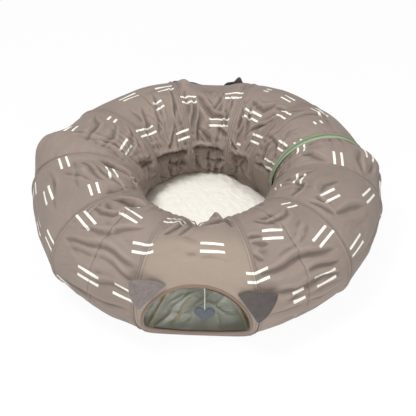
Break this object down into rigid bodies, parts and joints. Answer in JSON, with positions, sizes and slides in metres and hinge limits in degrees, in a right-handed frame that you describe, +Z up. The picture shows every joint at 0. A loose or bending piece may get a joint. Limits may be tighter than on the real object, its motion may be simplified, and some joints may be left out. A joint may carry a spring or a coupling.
{
  "type": "donut cat tunnel",
  "caption": "Ring-shaped fabric cat tunnel on wire hoops round a plush mat, with cat-head entrances, felt ears, a hanging heart toy and a zip that unrolls it.",
  "frame": {"origin": "on the floor at the middle of the ring, on the underside of the mat", "axes": "+Z up, -Y towards the front entrance, +X to the right seen from the front"},
  "size_m": [0.9456, 0.9434, 0.2732],
  "materials": {
    "cloth": "woven fabric, matt",
    "wire": "sprung steel wire",
    "pocket": "bias tape",
    "binding": "folded binding tape",
    "felt": "soft felt",
    "zip_tape": "woven tape",
    "zip_teeth": "nylon coil",
    "zip_metal": "bright metal",
    "elastic": "white elastic cord",
    "heart_felt": "soft felt",
    "plush": "long-pile plush",
    "backing": "non-slip cloth",
    "hook_tape": "hook tape"
  },
  "bodies": {
    "front_section": {"front_panel": "cloth", "front_rim": "binding", "hoop_018": "wire", "pocket_018": "pocket", "hoop_342": "wire", "pocket_342": "pocket", "toy_tab": "zip_tape", "front_tie_strap": "zip_tape"},
    "right_section_1": {"right_bay_1": "cloth", "hoop_051": "wire", "pocket_051": "pocket"},
    "right_section_2": {"right_bay_2": "cloth", "hoop_083": "wire", "pocket_083": "pocket"},
    "right_section_3": {"right_bay_3": "cloth", "hoop_zip_a": "wire", "pocket_zip_a": "pocket", "zip_tape_a": "zip_tape", "zip_teeth_a": "zip_teeth", "zip_stop": "zip_metal", "zip_retainer": "zip_metal"},
    "left_section_1": {"left_bay_1": "cloth", "hoop_309": "wire", "pocket_309": "pocket"},
    "left_section_2": {"left_bay_2": "cloth", "hoop_273": "wire", "pocket_273": "pocket"},
    "left_section_3": {"left_bay_3": "cloth", "hoop_237": "wire", "pocket_237": "pocket"},
    "left_section_4": {"left_bay_4": "cloth"},
    "rear_section": {"rear_panel": "cloth", "rear_rim": "binding", "hoop_198": "wire", "pocket_198": "pocket", "hoop_162": "wire", "pocket_162": "pocket", "rear_tie_strap": "zip_tape"},
    "rear_section_1": {"rear_bay_1": "cloth", "hoop_134": "wire", "pocket_134": "pocket"},
    "rear_section_2": {"rear_bay_2": "cloth", "hoop_zip_b": "wire", "pocket_zip_b": "pocket", "zip_tape_b": "zip_tape", "zip_teeth_b": "zip_teeth", "zip_pin": "zip_metal"},
    "slider": {"zip_slider": "zip_metal"},
    "pull": {"zip_pull": "zip_metal"},
    "front_left_ear": {"front_left_ear": "felt"},
    "front_right_ear": {"front_right_ear": "felt"},
    "rear_left_ear": {"rear_left_ear": "felt"},
    "rear_right_ear": {"rear_right_ear": "felt"},
    "toy_knot": {"toy_knot": "elastic"},
    "toy": {"toy_cord": "elastic", "toy_heart": "heart_felt"},
    "mat": {"mat_cushion": "plush", "mat_base": "backing", "front_tie_hooks": "hook_tape", "rear_tie_hooks": "hook_tape"}
  },
  "joints": [
    {"name": "left_hinge_1", "type": "hinge", "parent": "front_section", "child": "left_section_1", "pos_m": [-0.14678, -0.45175, 0.121], "axis": [0, 0, 1], "range_deg": [0, 34.5]},
    {"name": "left_hinge_2", "type": "hinge", "parent": "left_section_1", "child": "left_section_2", "pos_m": [-0.36914, -0.29893, 0.121], "axis": [0, 0, 1], "range_deg": [0, 34.5]},
    {"name": "left_hinge_3", "type": "hinge", "parent": "left_section_2", "child": "left_section_3", "pos_m": [-0.47435, -0.02486, 0.121], "axis": [0, 0, 1], "range_deg": [0, 36]},
    {"name": "left_hinge_4", "type": "hinge", "parent": "left_section_3", "child": "left_section_4", "pos_m": [-0.39837, 0.2587, 0.121], "axis": [0, 0, 1], "range_deg": [0, 37.5]},
    {"name": "rear_hinge", "type": "hinge", "parent": "left_section_4", "child": "rear_section", "pos_m": [-0.14678, 0.45175, 0.121], "axis": [0, 0, 1], "range_deg": [0, 37.5]},
    {"name": "rear_hinge_1", "type": "hinge", "parent": "rear_section", "child": "rear_section_1", "pos_m": [0.14678, 0.45175, 0.121], "axis": [0, 0, 1], "range_deg": [0, 32]},
    {"name": "rear_hinge_2", "type": "hinge", "parent": "rear_section_1", "child": "rear_section_2", "pos_m": [0.34169, 0.32996, 0.121], "axis": [0, 0, 1], "range_deg": [0, 29]},
    {"name": "right_hinge_1", "type": "hinge", "parent": "front_section", "child": "right_section_1", "pos_m": [0.14678, -0.45175, 0.121], "axis": [0, 0, -1], "range_deg": [0, 34.5]},
    {"name": "right_hinge_2", "type": "hinge", "parent": "right_section_1", "child": "right_section_2", "pos_m": [0.36914, -0.29893, 0.121], "axis": [0, 0, -1], "range_deg": [0, 32.5]},
    {"name": "right_hinge_3", "type": "hinge", "parent": "right_section_2", "child": "right_section_3", "pos_m": [0.47146, -0.05789, 0.121], "axis": [0, 0, -1], "range_deg": [0, 26.5]},
    {"name": "zip_slide", "type": "hinge", "parent": "right_section_3", "child": "slider", "pos_m": [0.31341, 0.07814, 0.13548], "axis": [-0.2419, 0.9703, 0], "range_deg": [0, 240]},
    {"name": "zip_pull_swing", "type": "hinge", "parent": "slider", "child": "pull", "pos_m": [0.18138, 0.04522, 0.09664], "axis": [-0.2419, 0.9703, 0], "range_deg": [0, 120]},
    {"name": "front_left_ear_flex", "type": "hinge", "parent": "front_section", "child": "front_left_ear", "pos_m": [-0.10322, -0.4424, 0.17024], "axis": [0.7006, 0.2911, 0.6515], "range_deg": [-12, 58], "stiffness_Nm_per_rad": 0.05},
    {"name": "front_right_ear_flex", "type": "hinge", "parent": "front_section", "child": "front_right_ear", "pos_m": [0.11925, -0.44942, 0.15093], "axis": [0.5504, -0.1174, -0.8266], "range_deg": [-12, 58], "stiffness_Nm_per_rad": 0.05},
    {"name": "rear_left_ear_flex", "type": "hinge", "parent": "rear_section", "child": "rear_left_ear", "pos_m": [-0.07305, 0.43243, 0.19092], "axis": [-0.8521, 0.3338, -0.4032], "range_deg": [0, 58], "stiffness_Nm_per_rad": 0.05},
    {"name": "rear_right_ear_flex", "type": "hinge", "parent": "rear_section", "child": "rear_right_ear", "pos_m": [0.07305, 0.43243, 0.19092], "axis": [-0.8521, -0.3338, 0.4032], "range_deg": [0, 58], "stiffness_Nm_per_rad": 0.05},
    {"name": "toy_swing_fore", "type": "hinge", "parent": "front_section", "child": "toy_knot", "pos_m": [0.016, -0.39017, 0.22043], "axis": [1, 0, 0], "range_deg": [-25, 25]},
    {"name": "toy_swing_side", "type": "hinge", "parent": "toy_knot", "child": "toy", "pos_m": [0.016, -0.39017, 0.22043], "axis": [0, 1, 0], "range_deg": [-25, 25]},
    {"name": "mat_release", "type": "slide", "parent": "front_section", "child": "mat", "axis": [0, 0, -1], "range_m": [0, 0.3]}
  ],
  "couplings": [
    {"joint": "left_hinge_2", "follows": "left_hinge_1", "ratio": 1},
    {"joint": "left_hinge_3", "follows": "left_hinge_1", "ratio": 1.0435},
    {"joint": "left_hinge_4", "follows": "left_hinge_1", "ratio": 1.087},
    {"joint": "rear_hinge", "follows": "left_hinge_1", "ratio": 1.087},
    {"joint": "rear_hinge_1", "follows": "left_hinge_1", "ratio": 0.92754},
    {"joint": "rear_hinge_2", "follows": "left_hinge_1", "ratio": 0.84058},
    {"joint": "right_hinge_1", "follows": "left_hinge_1", "ratio": 1},
    {"joint": "right_hinge_2", "follows": "left_hinge_1", "ratio": 0.94203},
    {"joint": "right_hinge_3", "follows": "left_hinge_1", "ratio": 0.76812}
  ]
}
